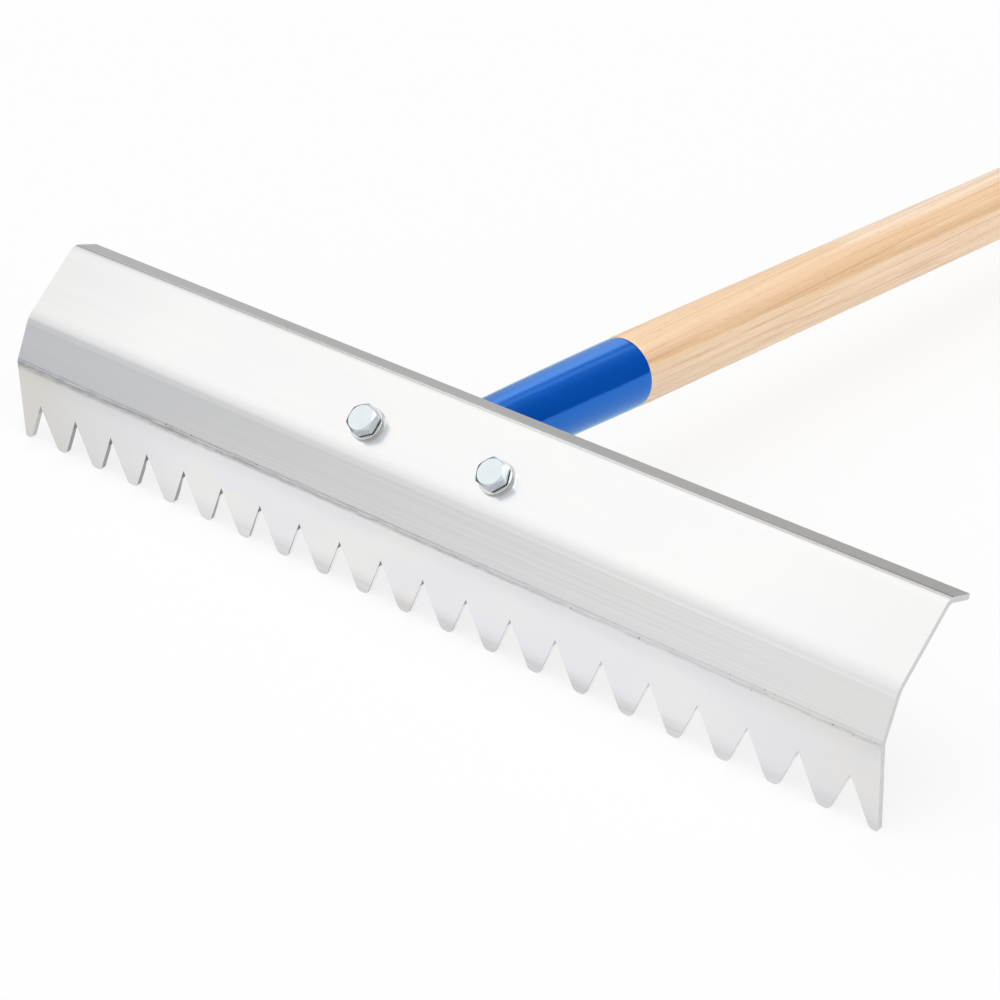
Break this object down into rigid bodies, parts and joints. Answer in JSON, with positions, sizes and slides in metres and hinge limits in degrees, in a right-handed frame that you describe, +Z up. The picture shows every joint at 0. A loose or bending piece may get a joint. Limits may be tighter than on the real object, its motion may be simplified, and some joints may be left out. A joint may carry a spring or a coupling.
{
  "type": "concrete rake",
  "caption": "Long-handled concrete rake: folded aluminium blade with V-cut teeth and a back lip, bolted to a tapered blue socket on a round wooden handle.",
  "frame": {"origin": "on the ground under the middle of the rake's bounding box, with the tooth tips and the handle's butt on the ground", "axes": "+X along the blade, +Y from the blade towards the handle's butt, +Z up"},
  "size_m": [0.5, 1.5458, 0.0864],
  "materials": {
    "blade_aluminium": "mill finish with fine lines along the blade",
    "bracket_paint": "gloss paint",
    "handle_wood": "smooth bare hardwood",
    "zinc_steel": "bright zinc plating",
    "insert_nylon": "plain nylon"
  },
  "bodies": {
    "root": {"rake_head": "blade_aluminium", "mounting_plate": "bracket_paint", "handle_socket": "bracket_paint", "socket_weld": "bracket_paint", "handle_shaft": "handle_wood", "handle_screw": "zinc_steel", "left_bolt": "zinc_steel", "left_front_washer": "zinc_steel", "left_rear_washer": "zinc_steel", "left_lock_nut": "zinc_steel", "left_nut_insert": "insert_nylon", "right_bolt": "zinc_steel", "right_front_washer": "zinc_steel", "right_rear_washer": "zinc_steel", "right_lock_nut": "zinc_steel", "right_nut_insert": "insert_nylon"}
  },
  "joints": []
}
